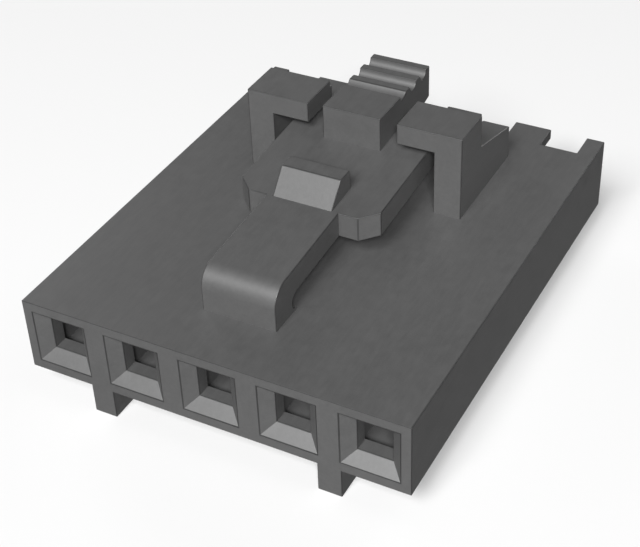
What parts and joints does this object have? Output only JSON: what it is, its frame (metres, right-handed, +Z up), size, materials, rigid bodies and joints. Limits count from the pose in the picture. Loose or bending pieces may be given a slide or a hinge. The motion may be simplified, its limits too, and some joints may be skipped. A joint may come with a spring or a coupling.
{
  "type": "wire to board connector housing",
  "caption": "Single-row wire-to-board connector housing with square tapered mouths, polarising ribs, a cantilever latch with catch and ridged thumb tab, and guard ears.",
  "frame": {"origin": "centre of the bounding box's underside, between the feet of the two polarising ribs, halfway from the mating face to the wire face", "axes": "+X across the circuits, +Y from the mating face towards the wires, +Z up to the latch side"},
  "size_m": [0.0126, 0.0154, 0.0065],
  "materials": {
    "moulding": "dark grey moulded thermoplastic, fine matt mould texture"
  },
  "bodies": {
    "root": {"housing": "moulding"}
  },
  "joints": []
}
